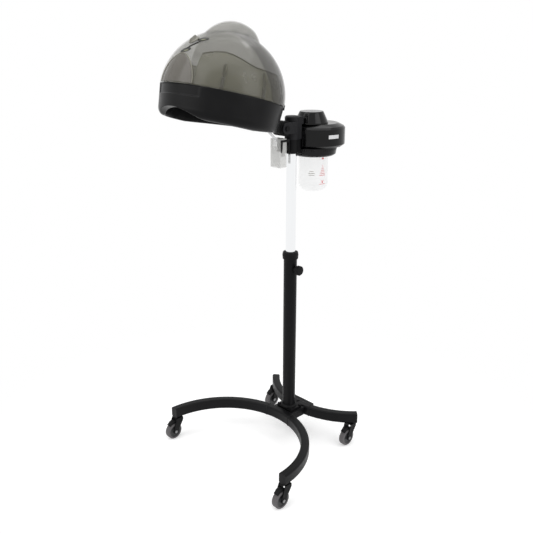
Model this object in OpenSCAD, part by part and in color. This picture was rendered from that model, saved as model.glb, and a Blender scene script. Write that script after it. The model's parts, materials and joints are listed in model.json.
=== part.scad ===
// Hood hair dryer of the steamer kind, on a rolling stand.
// Every shape is laid out round the mast axis; stand() moves the whole object so
// that the frame's origin is the centre of its footprint on the floor.

/* [Stand] */
// Bend radius of the base arms, to the middle of the tube
arm_bend_r = 232; // [200:1:260]
// Width of the arm tube
arm_w = 24; // [20:1:30]
// Height of the arm tube
arm_h = 31; // [26:1:36]
// Wall of the arm tube
arm_wall = 2; // [1.5:0.5:3]
// Height of the underside of the arms above the floor
arm_z = 68; // [66:1:80]
// Distance from the mast to the back of the front arms
front_gap = 23; // [22:1:26]
// Distance from the mast to the front of the rear arms
rear_gap = 29; // [27:1:32]
// Half width of the centre hub between the arm joints
hub_half_w = 47; // [42:1:52]
// Sweep of each front arm from the hub's middle, in degrees
front_sweep = 88; // [80:1:90]
// Sweep of each rear arm from the hub's middle, in degrees
rear_sweep = 47; // [42:1:50]

/* [Casters] */
// Diameter of the caster wheels
wheel_d = 50; // [46:1:52]
// Width of the caster tyre
wheel_w = 18; // [16:1:20]
// Trail of the wheel behind the swivel stem
caster_trail = 20; // [16:1:24]
// Radius of the swivel stem
stem_r = 5; // [4:0.5:6]

/* [Mast] */
// Outer diameter of the fixed column
column_d = 38; // [36:1:40]
// Top of the fixed column
column_top = 588; // [560:1:620]
// Outer diameter of the sliding chrome tube
tube_d = 28; // [26:1:29]
// Wall of the chrome tube
tube_wall = 1.5; // [1.2:0.1:2]
// Height of the lock knob's axis
lock_z = 545; // [535:1:550]
// Diameter of the lock knob
lock_knob_d = 28; // [24:1:30]

/* [Steam head] */
// Lower edge of the socket that takes the chrome tube
socket_z = 874; // [860:1:890]
// Radius of the round steam housing
drum_r = 78; // [74:1:80]
// Distance of the steam housing's axis behind the mast
drum_y = 101; // [98:1:106]
// Underside of the steam housing
drum_z = 886; // [884:1:888]
// Height of the steam housing's side wall
drum_h = 48; // [44:1:52]
// Distance of the boiler and its cap behind the mast
boiler_y = 77; // [75:1:80]
// Radius of the top cap at its foot
cap_r = 46; // [44:1:47]
// Height of the top cap
cap_h = 32; // [26:1:36]
// Distance of the water bottle's axis behind the mast
bottle_y = 89; // [88:1:92]
// Outer radius of the water bottle
bottle_r = 42; // [38:1:44]
// Height of the water bottle under its collar
bottle_h = 104; // [90:1:110]

/* [Hood] */
// Outer radius of the dome
dome_r = 151; // [145:1:155]
// Wall of the dome
dome_wall = 2.5; // [2:0.5:3]
// Depth of the collar below the seam
collar_h = 60; // [55:1:65]
// Tilt of the hood, front edge raised, in degrees
hood_tilt = 15; // [5:1:25]
// Distance of the dome's centre in front of the mast
hood_reach = 243; // [235:1:250]
// Height of the dome's centre above the floor
hood_z = 1039; // [1030:1:1045]

/* [Drip cup] */
// Width of the drip cup
cup_w = 39; // [36:1:40]
// Depth of the drip cup, front to back
cup_d = 27; // [24:1:28]
// Height of the drip cup
cup_h = 76; // [60:1:80]

/* [Hidden] */
$fn = 96;
eps = 0.01;
// running clearance of shafts, gap between neighbouring parts that move
run = 0.05;
gap = 0.4;
// the footprint's centre lies in front of the mast
mast_y = 108.04;

arm_out_r = arm_bend_r + arm_w / 2;
arm_top = arm_z + arm_h;
front_cy = -front_gap - arm_out_r;
rear_cy = rear_gap + arm_out_r;
// half angle of the hub's piece of each bend
hub_deg = asin(hub_half_w / arm_bend_r);
// how far each swivel stem is set in from its arm's end, along the bend
front_inset = 10.5;
rear_inset = 13;
stem_front_deg = front_sweep - front_inset / arm_bend_r * 180 / PI;
stem_rear_deg = rear_sweep - rear_inset / arm_bend_r * 180 / PI;

column_r = column_d / 2;
column_wall = 2;
switch_pin_r = 1.5;
column_z = arm_top + 4;
tube_r = tube_d / 2;
tube_z = 372;
tube_top = socket_z + 31;
bush_top = column_top - 2;
bush_z = bush_top - 62;

sleeve_r = 19.5;
pipe_z = 922;
pipe_r = 6;
sleeve_z = 912;
sleeve_top = 974;
drum_top = drum_z + drum_h;
cap_z = drum_top + 14.5;
ring_r = 66;
ring_h = 24;
ring_z = drum_z - gap - ring_h;
saddle_y = 21.8;

// axis of the tilt hinge, seen from the mast
pivot_y = -40;
pivot_z = 945;
barrel_r = 20;
// the same axis in the hood's own tilted frame
pivot_dy = pivot_y + hood_reach;
pivot_dz = pivot_z - hood_z;
hood_pivot_y = pivot_dy * cos(hood_tilt) - pivot_dz * sin(hood_tilt);
hood_pivot_z = pivot_dy * sin(hood_tilt) + pivot_dz * cos(hood_tilt);

drain_y = 163;
drain_r = 3;
cup_y = -50;
cup_top = 919;
cup_wall = 2;

// scoop over the crown: a bent round channel, as a ring about an axis along X
scoop_cy = 15;
scoop_cz = 60;
scoop_r = 28;
scoop_ring_r = 89.5;
scoop_end_y = 70;
scoop_end_lean = 28;
// elevation of the vent dial over the seam
vent_el = 43;

// ---------- helpers ----------

module stand() {
    translate([0, mast_y, 0]) children();
}

module tube(outer_r, inner_r, h) {
    difference() {
        cylinder(r = outer_r, h = h);
        translate([0, 0, -1]) cylinder(r = inner_r, h = h + 2);
    }
}

// a cylinder along X from x0 to x1
module rod_x(r, x0, x1) {
    translate([x0, 0, 0]) rotate([0, 90, 0]) cylinder(r = r, h = x1 - x0);
}

module box(x0, x1, y0, y1, z0, z1) {
    translate([x0, y0, z0]) cube([x1 - x0, y1 - y0, z1 - z0]);
}

// rectangle with corners rounded by r, centred on the origin
module round_rect(w, d, r) {
    union() {
        square([w - 2 * r, d], center = true);
        square([w, d - 2 * r], center = true);
        for (sx = [-1, 1], sy = [-1, 1])
            translate([sx * (w / 2 - r), sy * (d / 2 - r)]) circle(r = r, $fn = 32);
    }
}

// moves a child from the hood's own frame, dome centre at the origin, to its tilted place
module in_hood() {
    translate([0, -hood_reach, hood_z]) rotate([-hood_tilt, 0, 0]) children();
}

// ---------- base ----------

module arm_section(grow = 0) {
    translate([arm_bend_r, arm_z + arm_h / 2])
        round_rect(arm_w + 2 * grow, arm_h + 2 * grow, 5 + grow);
}

// A bent tube from angle a0 to a1; 0 points from the bend's centre to the mast and the
// angle grows towards side +1 or -1. The front bend's centre is in front of the mast.
module bent(is_front, side, a0, a1) {
    turn = is_front ? 90 : -90;
    low = side * (is_front ? -1 : 1) > 0 ? a0 : -a1;
    translate([0, is_front ? front_cy : rear_cy, 0])
        rotate([0, 0, turn + low]) rotate_extrude(angle = a1 - a0, $fn = 128) children();
}

module arm(is_front, side) {
    sweep = is_front ? front_sweep : rear_sweep;
    stem_deg = is_front ? stem_front_deg : stem_rear_deg;
    stand() difference() {
        bent(is_front, side, hub_deg, sweep) difference() {
            arm_section();
            arm_section(-arm_wall);
        }
        at_stem(is_front, side) translate([0, 0, arm_z - 1]) cylinder(r = stem_r + 3, h = 6);
    }
}

module at_stem(is_front, side) {
    deg = is_front ? stem_front_deg : stem_rear_deg;
    y = is_front ? front_cy + arm_bend_r * cos(deg) : rear_cy - arm_bend_r * cos(deg);
    translate([side * arm_bend_r * sin(deg), y, 0]) children();
}

module arm_front_left() { color("#1c1c1e") arm(true, -1); }
module arm_front_right() { color("#1c1c1e") arm(true, 1); }
module arm_rear_left() { color("#1c1c1e") arm(false, -1); }
module arm_rear_right() { color("#1c1c1e") arm(false, 1); }

module arm_end_caps() {
    cap_deg = 1;
    color("#202022") stand() for (is_front = [true, false], side = [-1, 1]) {
        sweep = is_front ? front_sweep : rear_sweep;
        bent(is_front, side, sweep, sweep + cap_deg) arm_section();
    }
}

module stem_bushes() {
    neck_h = arm_wall + 4;
    color("#2c2c2e") stand() for (is_front = [true, false], side = [-1, 1])
        at_stem(is_front, side) {
            translate([0, 0, arm_z]) tube(stem_r + 3, stem_r + run, neck_h);
            translate([0, 0, arm_z + neck_h]) tube(stem_r + 4.5, stem_r + run, 16);
        }
}

module base_hub() {
    pad_top = column_z;
    color("#1f1f21") stand() difference() {
        union() {
            for (side = [-1, 1]) {
                bent(true, side, 0, hub_deg) arm_section();
                bent(false, side, 0, hub_deg) arm_section();
            }
            // web between the two bends
            box(-36, 36, -front_gap - 8, rear_gap + 8, arm_z + 3, arm_top - 3);
            // raised pad round the column's foot
            translate([0, 3, arm_top - 6]) linear_extrude(pad_top - arm_top + 6)
                round_rect(60, 52, 8);
            // gusset behind the rear bend
            translate([0, rear_gap + 26, arm_z + 4]) linear_extrude(arm_h - 8)
                round_rect(2 * hub_half_w - 6, 28, 6);
        }
        // seat for the column's spigot
        translate([0, 0, arm_z + 8]) cylinder(r = column_r - column_wall, h = arm_h);
        for (p = hub_bolt_points()) translate([p[0], p[1], pad_top - 12])
            cylinder(r = 3 + run, h = 20);
    }
}

function hub_bolt_points() = [for (sx = [-1, 1], y = [-16, 22]) [sx * 24, y]];

module hub_bolts() {
    color("#8a8a8c") stand() for (p = hub_bolt_points()) translate([p[0], p[1], 0]) {
        translate([0, 0, column_z - 12]) cylinder(r = 3, h = 12 + 1.5);
        translate([0, 0, column_z]) cylinder(r = 5, h = 2.6);
    }
}

// ---------- casters ----------

module caster_fork(is_front, side) {
    wheel_r = wheel_d / 2;
    fork_top = arm_z - 0.6;
    color("#19191b") stand() at_stem(is_front, side) {
        translate([0, 0, fork_top - 3]) cylinder(r = 11, h = 3);
        translate([0, 0, fork_top - 1]) cylinder(r = stem_r, h = 24);
        for (s = [-1, 1]) difference() {
            translate([s * (wheel_w / 2 + 2.4), 0, 0]) rotate([90, 0, 90])
                linear_extrude(2.8, center = true) difference() {
                    polygon([[9, fork_top - 1], [9, fork_top - 10], [-caster_trail + 8, wheel_r],
                        [-caster_trail + 6, wheel_r - 5.3], [-caster_trail, wheel_r - 8],
                        [-caster_trail - 6, wheel_r - 5.3], [-caster_trail - 8, wheel_r],
                        [-17, fork_top - 9], [-13, fork_top - 1]]);
                    translate([-caster_trail, wheel_r]) circle(r = 3 + run);
                }
        }
        // crown that joins the two arms over the wheel
        box(-wheel_w / 2 - 3.8, wheel_w / 2 + 3.8, -12, 9, fork_top - 4, fork_top - 1);
    }
}

module at_wheel(is_front, side) {
    at_stem(is_front, side) translate([0, -caster_trail, wheel_d / 2]) children();
}

module caster_axle(is_front, side) {
    half = wheel_w / 2 + 5.4;
    color("#c9c9cc") stand() at_wheel(is_front, side) {
        rod_x(3, -half, half);
        for (s = [-1, 1]) translate([s * (half - 0.7), 0, 0])
            rotate([0, 90, 0]) cylinder(r = 4.6, h = 1.6, center = true);
    }
}

module wheel_core(is_front, side) {
    r = wheel_d / 2 - 6;
    color("#3a3a3d") stand() at_wheel(is_front, side) rotate([0, 90, 0]) rotate_extrude()
        polygon([[3 + run, -9], [8, -9], [8, -6.5], [r - 3, -6.5], [r - 3, -8], [r, -8],
            [r, 8], [r - 3, 8], [r - 3, 6.5], [8, 6.5], [8, 9], [3 + run, 9]]);
}

module tyre(is_front, side) {
    inner = wheel_d / 2 - 6;
    outer = wheel_d / 2;
    half = wheel_w / 2 - 0.5;
    round_r = 2.8;
    color("#575458") stand() at_wheel(is_front, side) rotate([0, 90, 0]) rotate_extrude()
        union() {
            translate([inner, -half]) square([outer - inner - round_r, 2 * half]);
            translate([outer - round_r - eps, -half + round_r])
                square([round_r + eps, 2 * (half - round_r)]);
            for (s = [-1, 1]) translate([outer - round_r, s * (half - round_r)])
                circle(r = round_r, $fn = 32);
        }
}

module caster_fork_front_left() { caster_fork(true, -1); }
module caster_fork_front_right() { caster_fork(true, 1); }
module caster_fork_rear_left() { caster_fork(false, -1); }
module caster_fork_rear_right() { caster_fork(false, 1); }
module caster_axle_front_left() { caster_axle(true, -1); }
module caster_axle_front_right() { caster_axle(true, 1); }
module caster_axle_rear_left() { caster_axle(false, -1); }
module caster_axle_rear_right() { caster_axle(false, 1); }
module wheel_core_front_left() { wheel_core(true, -1); }
module wheel_core_front_right() { wheel_core(true, 1); }
module wheel_core_rear_left() { wheel_core(false, -1); }
module wheel_core_rear_right() { wheel_core(false, 1); }
module tyre_front_left() { tyre(true, -1); }
module tyre_front_right() { tyre(true, 1); }
module tyre_rear_left() { tyre(false, -1); }
module tyre_rear_right() { tyre(false, 1); }

// ---------- mast ----------

module outer_column() {
    spigot_z = arm_z + 8;
    color("#222224") stand() difference() {
        union() {
            translate([0, 0, column_z]) cylinder(r = column_r, h = column_top - column_z);
            translate([0, 0, spigot_z])
                cylinder(r = column_r - column_wall - 0.05, h = column_z - spigot_z + 1);
        }
        translate([0, 0, spigot_z - 1])
            cylinder(r = column_r - 2 * column_wall, h = column_z - spigot_z + 3);
        translate([0, 0, column_z + 1]) cylinder(r = column_r - column_wall, h = column_top);
        translate([0, 0, lock_z]) rod_x(4 + run, 0, column_r + 2);
    }
}

module column_foot_ring() {
    color("#1a1a1c") stand() translate([0, 0, column_z]) rotate_extrude()
        polygon([[column_r + run, 0], [column_r + 5, 0], [column_r + 5, 2], [column_r + 2, 7],
            [column_r + run, 7]]);
}

module column_collar() {
    color("#1a1a1c") stand() difference() {
        rotate_extrude() polygon([[column_r + run, column_top - 14], [column_r + 3, column_top - 14],
            [column_r + 4, column_top - 2], [column_r + 2.5, column_top + 6], [tube_r + 3, column_top + 8],
            [tube_r + 0.5, column_top + 8], [tube_r + 0.5, column_top], [column_r + run, column_top]]);
    }
}

module guide_bush() {
    color("#d8d8d2") stand() difference() {
        translate([0, 0, bush_z])
            tube(column_r - column_wall, tube_r + run, bush_top - bush_z);
        translate([0, 0, lock_z]) rod_x(4 + run, 0, column_r + 2);
    }
}

module chrome_tube() {
    color("#e4e6ea") stand() translate([0, 0, tube_z])
        tube(tube_r, tube_r - tube_wall, tube_top - tube_z);
}

module lock_knob() {
    lobes = 8;
    r = lock_knob_d / 2;
    color("#151517") stand() translate([0, 0, lock_z]) difference() {
        union() {
            rod_x(8, column_r + 0.6, column_r + 8);
            rotate([0, 90, 0]) translate([0, 0, column_r + 7]) rotate_extrude()
                polygon([[0, 0], [r - 4, 0], [r, 3], [r, 12], [r - 2, 14], [0, 15]]);
        }
        for (i = [0 : lobes - 1]) rotate([i * 360 / lobes + 22.5, 0, 0])
            translate([0, r + 2.6, 0]) rod_x(4, column_r + 6, column_r + 24);
        rod_x(4, column_r - 1, column_r + 10);
    }
}

module lock_stud() {
    color("#b9bbc0") stand() translate([0, 0, lock_z]) rod_x(4, tube_r + 0.3, column_r + 10);
}

// ---------- steam head ----------

module mast_socket() {
    color("#151517") stand() difference() {
        union() {
            translate([0, 0, socket_z]) rotate_extrude()
                polygon([[0, 0], [15.5, 0], [17.5, 2], [17.5, sleeve_z - socket_z],
                    [0, sleeve_z - socket_z]]);
            box(-13, 13, 0, saddle_y, socket_z + 1, sleeve_z);
        }
        translate([0, 0, socket_z - 1]) cylinder(r = tube_r + run, h = tube_top + 0.3 - socket_z + 1);
    }
}

module head_sleeve() {
    color("#303134") stand() difference() {
        union() {
            translate([0, 0, sleeve_z]) rotate_extrude()
                polygon([[0, 0], [sleeve_r, 0], [sleeve_r, sleeve_top - sleeve_z - 3],
                    [sleeve_r - 3, sleeve_top - sleeve_z], [0, sleeve_top - sleeve_z]]);
            box(-16, 16, 0, saddle_y, sleeve_z, sleeve_top - 2);
            box(-16, 16, 0, boiler_y - cap_r - 2.5, cap_z + 3, sleeve_top - 2);
            // cheeks of the tilt hinge
            for (s = [-1, 1]) translate([s * 19.5, 0, 0]) {
                translate([0, pivot_y, pivot_z]) rod_x(15, -2.5, 2.5);
                box(-2.5, 2.5, pivot_y, 0, pivot_z - 15, pivot_z + 15);
            }
        }
        // steam chamber above the mast's end
        translate([0, 0, sleeve_z + 3]) cylinder(r = 13, h = sleeve_top - sleeve_z - 7);
        translate([0, 0, pipe_z]) rotate([-90, 0, 0]) cylinder(r = pipe_r + run, h = 30);
        // room for the hinge barrel
        translate([0, pivot_y, pivot_z]) rod_x(barrel_r + 1, -17, 17);
        translate([0, pivot_y, pivot_z]) rod_x(4 + run, -30, 30);
    }
}

module head_lower_shell() {
    wall = 3;
    color("#141416") stand() difference() {
        union() {
            translate([0, drum_y, drum_z]) rotate_extrude() polygon(
                [[0, 0], [drum_r - 7, 0], [drum_r, 6], [drum_r, drum_h], [0, drum_h]]);
            box(-18, 18, saddle_y, saddle_y + 10, drum_z + 3, drum_top);
        }
        translate([0, drum_y, drum_z]) rotate_extrude() polygon([[0, wall], [drum_r - 10, wall],
            [drum_r - wall, 10], [drum_r - wall, drum_h + 1], [0, drum_h + 1]]);
        translate([0, bottle_y, drum_z - 1]) cylinder(r = 24, h = 6);
        translate([0, 10, pipe_z]) rotate([-90, 0, 0]) cylinder(r = pipe_r + run, h = 30);
        // windows for the switch, the lamp and the inlet
        at_panel() box(-10.2, 10.2, -8, 8, -9.6, 9.6);
        at_panel() rod_x(switch_pin_r + run, -11.5, 11.5);
        at_panel() translate([0, 0, 16]) rotate([-90, 0, 0])
            cylinder(r = 3 + run, h = 20, center = true);
        at_inlet() box(-14, 14, -9, 9, -10, 10);
        for (a = screw_angles()) translate([0, drum_y, 0]) rotate([0, 0, a])
            translate([drum_r - 12, 0, drum_z - 1]) cylinder(r = 2 + run, h = 6);
    }
}

function screw_angles() = [20, 55, 90, 125, 160];

// the control panel is on the left side of the housing, the inlet at its back
module at_panel() {
    translate([0, drum_y, drum_z + drum_h / 2 - 2]) rotate([0, 0, 90])
        translate([0, drum_r - 3, 0]) children();
}

module at_inlet() {
    translate([0, drum_y, drum_z + drum_h / 2 - 2]) translate([0, drum_r - 3, 0]) children();
}

module head_upper_shell() {
    wall = 3;
    rise = cap_z - drum_top;
    color("#17171a") stand() difference() {
        translate([0, drum_y, drum_top]) rotate_extrude()
            polygon([[0, 0], [drum_r, 0], [drum_r, 2], [drum_r - 4, 7], [drum_r - 12, 11],
                [drum_r - 20, rise], [0, rise]]);
        translate([0, drum_y, drum_top - 1]) rotate_extrude()
            polygon([[0, 0], [drum_r - 5, 0], [drum_r - 6, 4], [drum_r - 20, rise - wall], [0, rise - wall]]);
        translate([0, boiler_y, drum_top - 1]) cylinder(r = 39, h = rise + 2);
        box(-18, 18, 0, saddle_y, drum_top - 1, cap_z + 3);
    }
}

module top_cap() {
    wall = 3;
    color("#131315") stand() translate([0, boiler_y, cap_z + 0.3]) difference() {
        rotate_extrude() polygon([[0, 0], [cap_r, 0], [cap_r, 3], [cap_r - 12, cap_h - 3],
            [cap_r - 14, cap_h], [0, cap_h]]);
        translate([0, 0, -1]) rotate_extrude() polygon([[0, 0], [cap_r - 6, 0], [cap_r - 6, 3],
            [cap_r - 12 - wall, cap_h - 5], [0, cap_h - 4]]);
    }
}

module name_plate() {
    half_deg = 12;
    color("#c4c6ca") stand() translate([0, drum_y, drum_z + drum_h / 2 + 7])
        rotate([0, 0, -12 - half_deg]) rotate_extrude(angle = 2 * half_deg)
            translate([drum_r + 0.02, -5]) square([0.9, 10]);
}

module power_switch() {
    color("#0f0f10") stand() at_panel() union() {
        rotate([0, 90, 0]) linear_extrude(19, center = true)
            polygon([[-8.6, -1], [8.6, -1], [8.6, 4.5], [0, 5.2], [-8.6, 7]]);
        rod_x(switch_pin_r, -11.2, 11.2);
    }
}

module indicator_lens() {
    color("#d83020") stand() at_panel() translate([0, 0, 16]) rotate([-90, 0, 0]) {
        translate([0, 0, -3]) cylinder(r = 3, h = 6.5);
        translate([0, 0, 3.02]) cylinder(r = 4, h = 1.4);
    }
}

module power_inlet() {
    color("#0d0d0e") stand() at_inlet() difference() {
        union() {
            box(-13.8, 13.8, -8, 3.2, -9.8, 9.8);
            box(-17, 17, 3.2, 5, -13, 13);
        }
        box(-11, 11, -4, 6, -7, 7);
        for (x = [-6, 0, 6]) translate([x, -9, 0]) rotate([-90, 0, 0]) cylinder(r = 1.2, h = 6);
    }
}

module boiler() {
    color("#b9babd") stand() translate([0, boiler_y, drum_z + 3]) difference() {
        cylinder(r = 37, h = drum_h - 6);
        translate([0, 0, 3]) cylinder(r = 34, h = drum_h);
        translate([0, bottle_y - boiler_y, -1]) cylinder(r = 9, h = 6);
        translate([0, -20, pipe_z - drum_z - 3]) rotate([90, 0, 0]) cylinder(r = pipe_r + run, h = 20);
    }
}

module heater_ring() {
    color("#8d5a3a") stand() translate([0, boiler_y, drum_z + 6]) tube(33, 24, 6);
}

module boiler_gasket() {
    color("#d9d4c8") stand() translate([0, boiler_y, drum_top - 3]) tube(37, 33, 2.5);
}

module steam_pipe() {
    color("#9aa0a6") stand() translate([0, 10, pipe_z]) rotate([-90, 0, 0])
        tube(pipe_r, pipe_r - 1.5, boiler_y - 35.5 - 10);
}

module head_screws() {
    color("#9a9a9d") stand() for (a = screw_angles()) translate([0, drum_y, 0]) rotate([0, 0, a])
        translate([drum_r - 12, 0, 0]) {
            translate([0, 0, drum_z]) cylinder(r = 2, h = 10);
            translate([0, 0, drum_z - 1.4]) cylinder(r = 3.4, h = 1.4);
        }
}

module bottle_ring() {
    ribs = 60;
    color("#121214") stand() translate([0, bottle_y, ring_z]) difference() {
        rotate_extrude() polygon([[bottle_r + 0.2, 0], [ring_r - 9, 0], [ring_r - 4, 4],
            [ring_r - 1, ring_h - 1], [ring_r - 2, ring_h], [bottle_r - 8, ring_h],
            [bottle_r - 8, ring_h - 3], [bottle_r + 0.2, ring_h - 3]]);
        for (i = [0 : ribs - 1]) rotate([0, 0, i * 360 / ribs])
            translate([ring_r - 0.6, 0, 6]) cylinder(r = 2, h = ring_h - 9, $fn = 6);
    }
}

module water_bottle() {
    wall = 2;
    inner = bottle_r - wall;
    color([0.92, 0.94, 0.95, 0.35]) stand() translate([0, bottle_y, ring_z - bottle_h + 4]) rotate_extrude()
        difference() {
            polygon([[0, 0], [bottle_r - 12, 0], [bottle_r, 14], [bottle_r, bottle_h + 16],
                [23, bottle_h + 16], [23, bottle_h + 21], [0, bottle_h + 21]]);
            polygon([[0, wall], [inner - 11, wall], [inner, 15], [inner, bottle_h + 14], [21, bottle_h + 14],
                [21, bottle_h + 22], [0, bottle_h + 22]]);
        }
}

// ---------- hood ----------

// half profile of the collar: outer wall, full rounded lip and inner wall
module collar_profile() {
    top_r = dome_r - 0.5;
    low_r = dome_r - 5;
    low_z = -50;
    lip_w = 17;
    lip_h = 21;
    inner_r = 127;
    wall = 3;
    floor_z = low_z + 6;
    difference() {
        polygon(concat([[inner_r, 0], [top_r, 0]],
            [for (a = [0 : 10 : 90])
                [low_r - lip_w + lip_w * cos(a), low_z - lip_h * sin(a)]],
            [[inner_r, low_z - lip_h + 3]]));
        polygon([[inner_r + wall, -wall], [top_r - wall, -wall], [low_r - wall, floor_z],
            [inner_r + wall, floor_z]]);
    }
}

module hood_collar() {
    recess_deg = 29;
    arch_r = 150;
    rear_slope = 6.3;
    color("#202123") stand() in_hood() difference() {
        rotate_extrude($fn = 160) collar_profile();
        // shallow panel under the face window
        rotate([0, 0, -90 - recess_deg]) rotate_extrude(angle = 2 * recess_deg)
            polygon([[dome_r - 1.7, 1], [dome_r + 5, 1], [dome_r + 5, -23], [dome_r - 3.7, -23]]);
        // face arch at the front
        translate([0, 0, -51 - arch_r]) rotate([90, 0, 0]) cylinder(r = arch_r, h = 200);
        // the lip runs out towards the back
        translate([0, 0, -71.5]) rotate([rear_slope, 0, 0])
            translate([-200, 0, -100]) cube([400, 300, 100]);
    }
}

module dome_skin() {
    difference() {
        sphere(r = dome_r, $fn = 160);
        sphere(r = dome_r - dome_wall, $fn = 160);
        translate([-200, -200, -400]) cube(400);
    }
}

module scoop_body(r) {
    intersection() {
        translate([0, scoop_cy, scoop_cz]) rotate([0, 90, 0])
            rotate_extrude($fn = 128) translate([scoop_ring_r, 0]) circle(r = r);
        // steep rear end
        translate([0, scoop_end_y - (scoop_r - r), 135]) rotate([scoop_end_lean, 0, 0])
            translate([-100, -300, -150]) cube([200, 300, 300]);
    }
}

module face_outline(grow = 0) {
    half_w = 56 + grow;
    rise = 71 + grow;
    r = (rise * rise + half_w * half_w) / (2 * half_w);
    intersection() {
        translate([r - half_w, 0]) circle(r = r);
        translate([half_w - r, 0]) circle(r = r);
        translate([-100, 4 - grow]) square([200, 200]);
    }
}

module face_prism(grow = 0) {
    rotate([90, 0, 0]) linear_extrude(200) face_outline(grow);
}

module vent_spot() {
    rotate([90 - vent_el, 0, 0]) children();
}

module dome_shell() {
    color([0.42, 0.42, 0.37, 0.6]) stand() in_hood() difference() {
        dome_skin();
        scoop_body(scoop_r + 0.2);
        face_prism(0.2);
        vent_spot() cylinder(r = 4 + run, h = 200);
    }
}

module crown_scoop() {
    color([0.36, 0.36, 0.32, 0.7]) stand() in_hood() difference() {
        scoop_body(scoop_r);
        sphere(r = dome_r - dome_wall, $fn = 160);
        scoop_body(scoop_r - dome_wall);
    }
}

module face_visor() {
    color([0.5, 0.5, 0.47, 0.5]) stand() in_hood() intersection() {
        difference() {
            sphere(r = dome_r + 0.8, $fn = 160);
            sphere(r = dome_r - dome_wall, $fn = 160);
        }
        face_prism();
    }
}

module vent_dial() {
    color([0.5, 0.5, 0.46, 0.8]) stand() in_hood() vent_spot() {
        translate([0, 0, dome_r - 6]) cylinder(r = 4, h = 9);
        translate([0, 0, dome_r + 1.4]) cylinder(r = 13, h = 3);
        translate([-1.5, -11, dome_r + 4]) cube([3, 22, 6]);
    }
}

module steam_diffuser() {
    r = 140;
    color([0.55, 0.55, 0.5, 0.5]) stand() in_hood() difference() {
        sphere(r = r, $fn = 128);
        sphere(r = r - 2, $fn = 128);
        translate([-200, -200, -400 + 0.4]) cube(400);
        translate([-200, -200, 88]) cube(400);
        translate([-62, -200, -10]) cube([124, 200, 200]);
        for (a = [-132, -90, -48, 48, 90, 132, 180]) rotate([0, 0, a])
            translate([0, -r - 5, 48]) rotate([-90, 0, 0]) linear_extrude(20) round_rect(9, 36, 4.4);
    }
}

module seam_clips() {
    half_deg = 1.6;
    color("#0f0f10") stand() in_hood() for (a = [-132, 132]) rotate([0, 0, a])
        rotate([0, 0, -90 - half_deg]) rotate_extrude(angle = 2 * half_deg)
            polygon([[dome_r + 0.02, 6], [dome_r + 1.8, 6], [dome_r + 1.8, -6], [dome_r - 0.48, -6],
                [dome_r - 0.48, 0], [dome_r + 0.02, 0]]);
}

module hood_neck() {
    color("#141416") stand() difference() {
        union() {
            translate([0, pivot_y, pivot_z]) rod_x(barrel_r, -16.5, 16.5);
            in_hood() {
                box(-15, 15, dome_r - 20, hood_pivot_y, hood_pivot_z - 14, hood_pivot_z + 16);
                translate([0, dome_r - 5, -30]) rotate([-90, 0, 0]) linear_extrude(24) round_rect(74, 46, 10);
            }
        }
        // the collar's outside
        in_hood() rotate_extrude() polygon([[0, 0], [dome_r - 0.45, 0], [dome_r - 4.95, -50],
            [dome_r - 4.95, -70], [0, -70]]);
        in_hood() translate([0, drain_y, -60]) cylinder(r = drain_r + run, h = 16);
        translate([0, pivot_y, pivot_z]) rod_x(4 + run, -30, 30);
    }
}

module tilt_pin() {
    color("#c9c9cc") stand() translate([0, pivot_y, pivot_z]) {
        rod_x(4, -28, 24);
        rod_x(7, 22.2, 25.5);
    }
}

module tilt_knob() {
    color("#151517") stand() translate([0, pivot_y, pivot_z]) difference() {
        union() {
            rod_x(13, -38, -27);
            rod_x(8, -27.5, -22.6);
        }
        rod_x(4 + run, -29, 0);
    }
}

// ---------- drip cup ----------

module cup_holder() {
    back = cup_y + cup_d / 2;
    front = cup_y - cup_d / 2;
    side = cup_w / 2 + gap;
    top = cup_top - 2;
    color("#151517") stand() difference() {
        union() {
            box(-side - 2, side + 2, back + 3.5, back + 6, 880, top);
            box(-5, 5, back + gap, back + 4, 868, top);
            box(-8, 8, back + 5, -12, 882, 906);
            // bar along the cup, from the back plate to the near corner, and its pointed end
            box(side, side + 2, front + 1, back + 4, top - 6, top);
            translate([side, 0, 0]) rotate([90, 0, 90]) linear_extrude(2)
                polygon([[front + 1, top], [front + 2, 888], [front + 4, 883], [front + 6, 888],
                    [front + 8, top]]);
        }
        cylinder(r = 17.5, h = 1000);
    }
}

module drip_cup() {
    back = cup_y + cup_d / 2;
    floor_z = cup_top - cup_h;
    color([0.9, 0.9, 0.88, 0.5]) stand() difference() {
        union() {
            translate([0, cup_y, floor_z]) linear_extrude(cup_h) round_rect(cup_w, cup_d, 4);
            for (s = [-1, 1]) box(s * 7 - 1.2, s * 7 + 1.2, back - 1, back + 3.2, 866, cup_top - 4);
        }
        translate([0, cup_y, floor_z + cup_wall]) linear_extrude(cup_h)
            round_rect(cup_w - 2 * cup_wall, cup_d - 2 * cup_wall, 2.5);
        // notch that clears the drain tube
        translate([0, cup_y - cup_d / 2, cup_top - 20]) box(-8, 8, -5, 5, 0, 40);
    }
}

module drain_tube() {
    run_z = -collar_h - 4;
    end_y = hood_pivot_y - 10;
    color([0.95, 0.95, 0.95, 0.5]) stand() in_hood() {
        translate([0, drain_y, run_z]) cylinder(r = drain_r, h = 19);
        translate([0, drain_y, run_z]) sphere(r = drain_r);
        translate([0, drain_y, run_z]) rotate([-90, 0, 0]) cylinder(r = drain_r, h = end_y - drain_y);
        translate([0, end_y, run_z]) sphere(r = drain_r);
        translate([0, end_y, run_z - 12]) cylinder(r = drain_r, h = 12);
    }
}

// ---------- every node ----------

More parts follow.
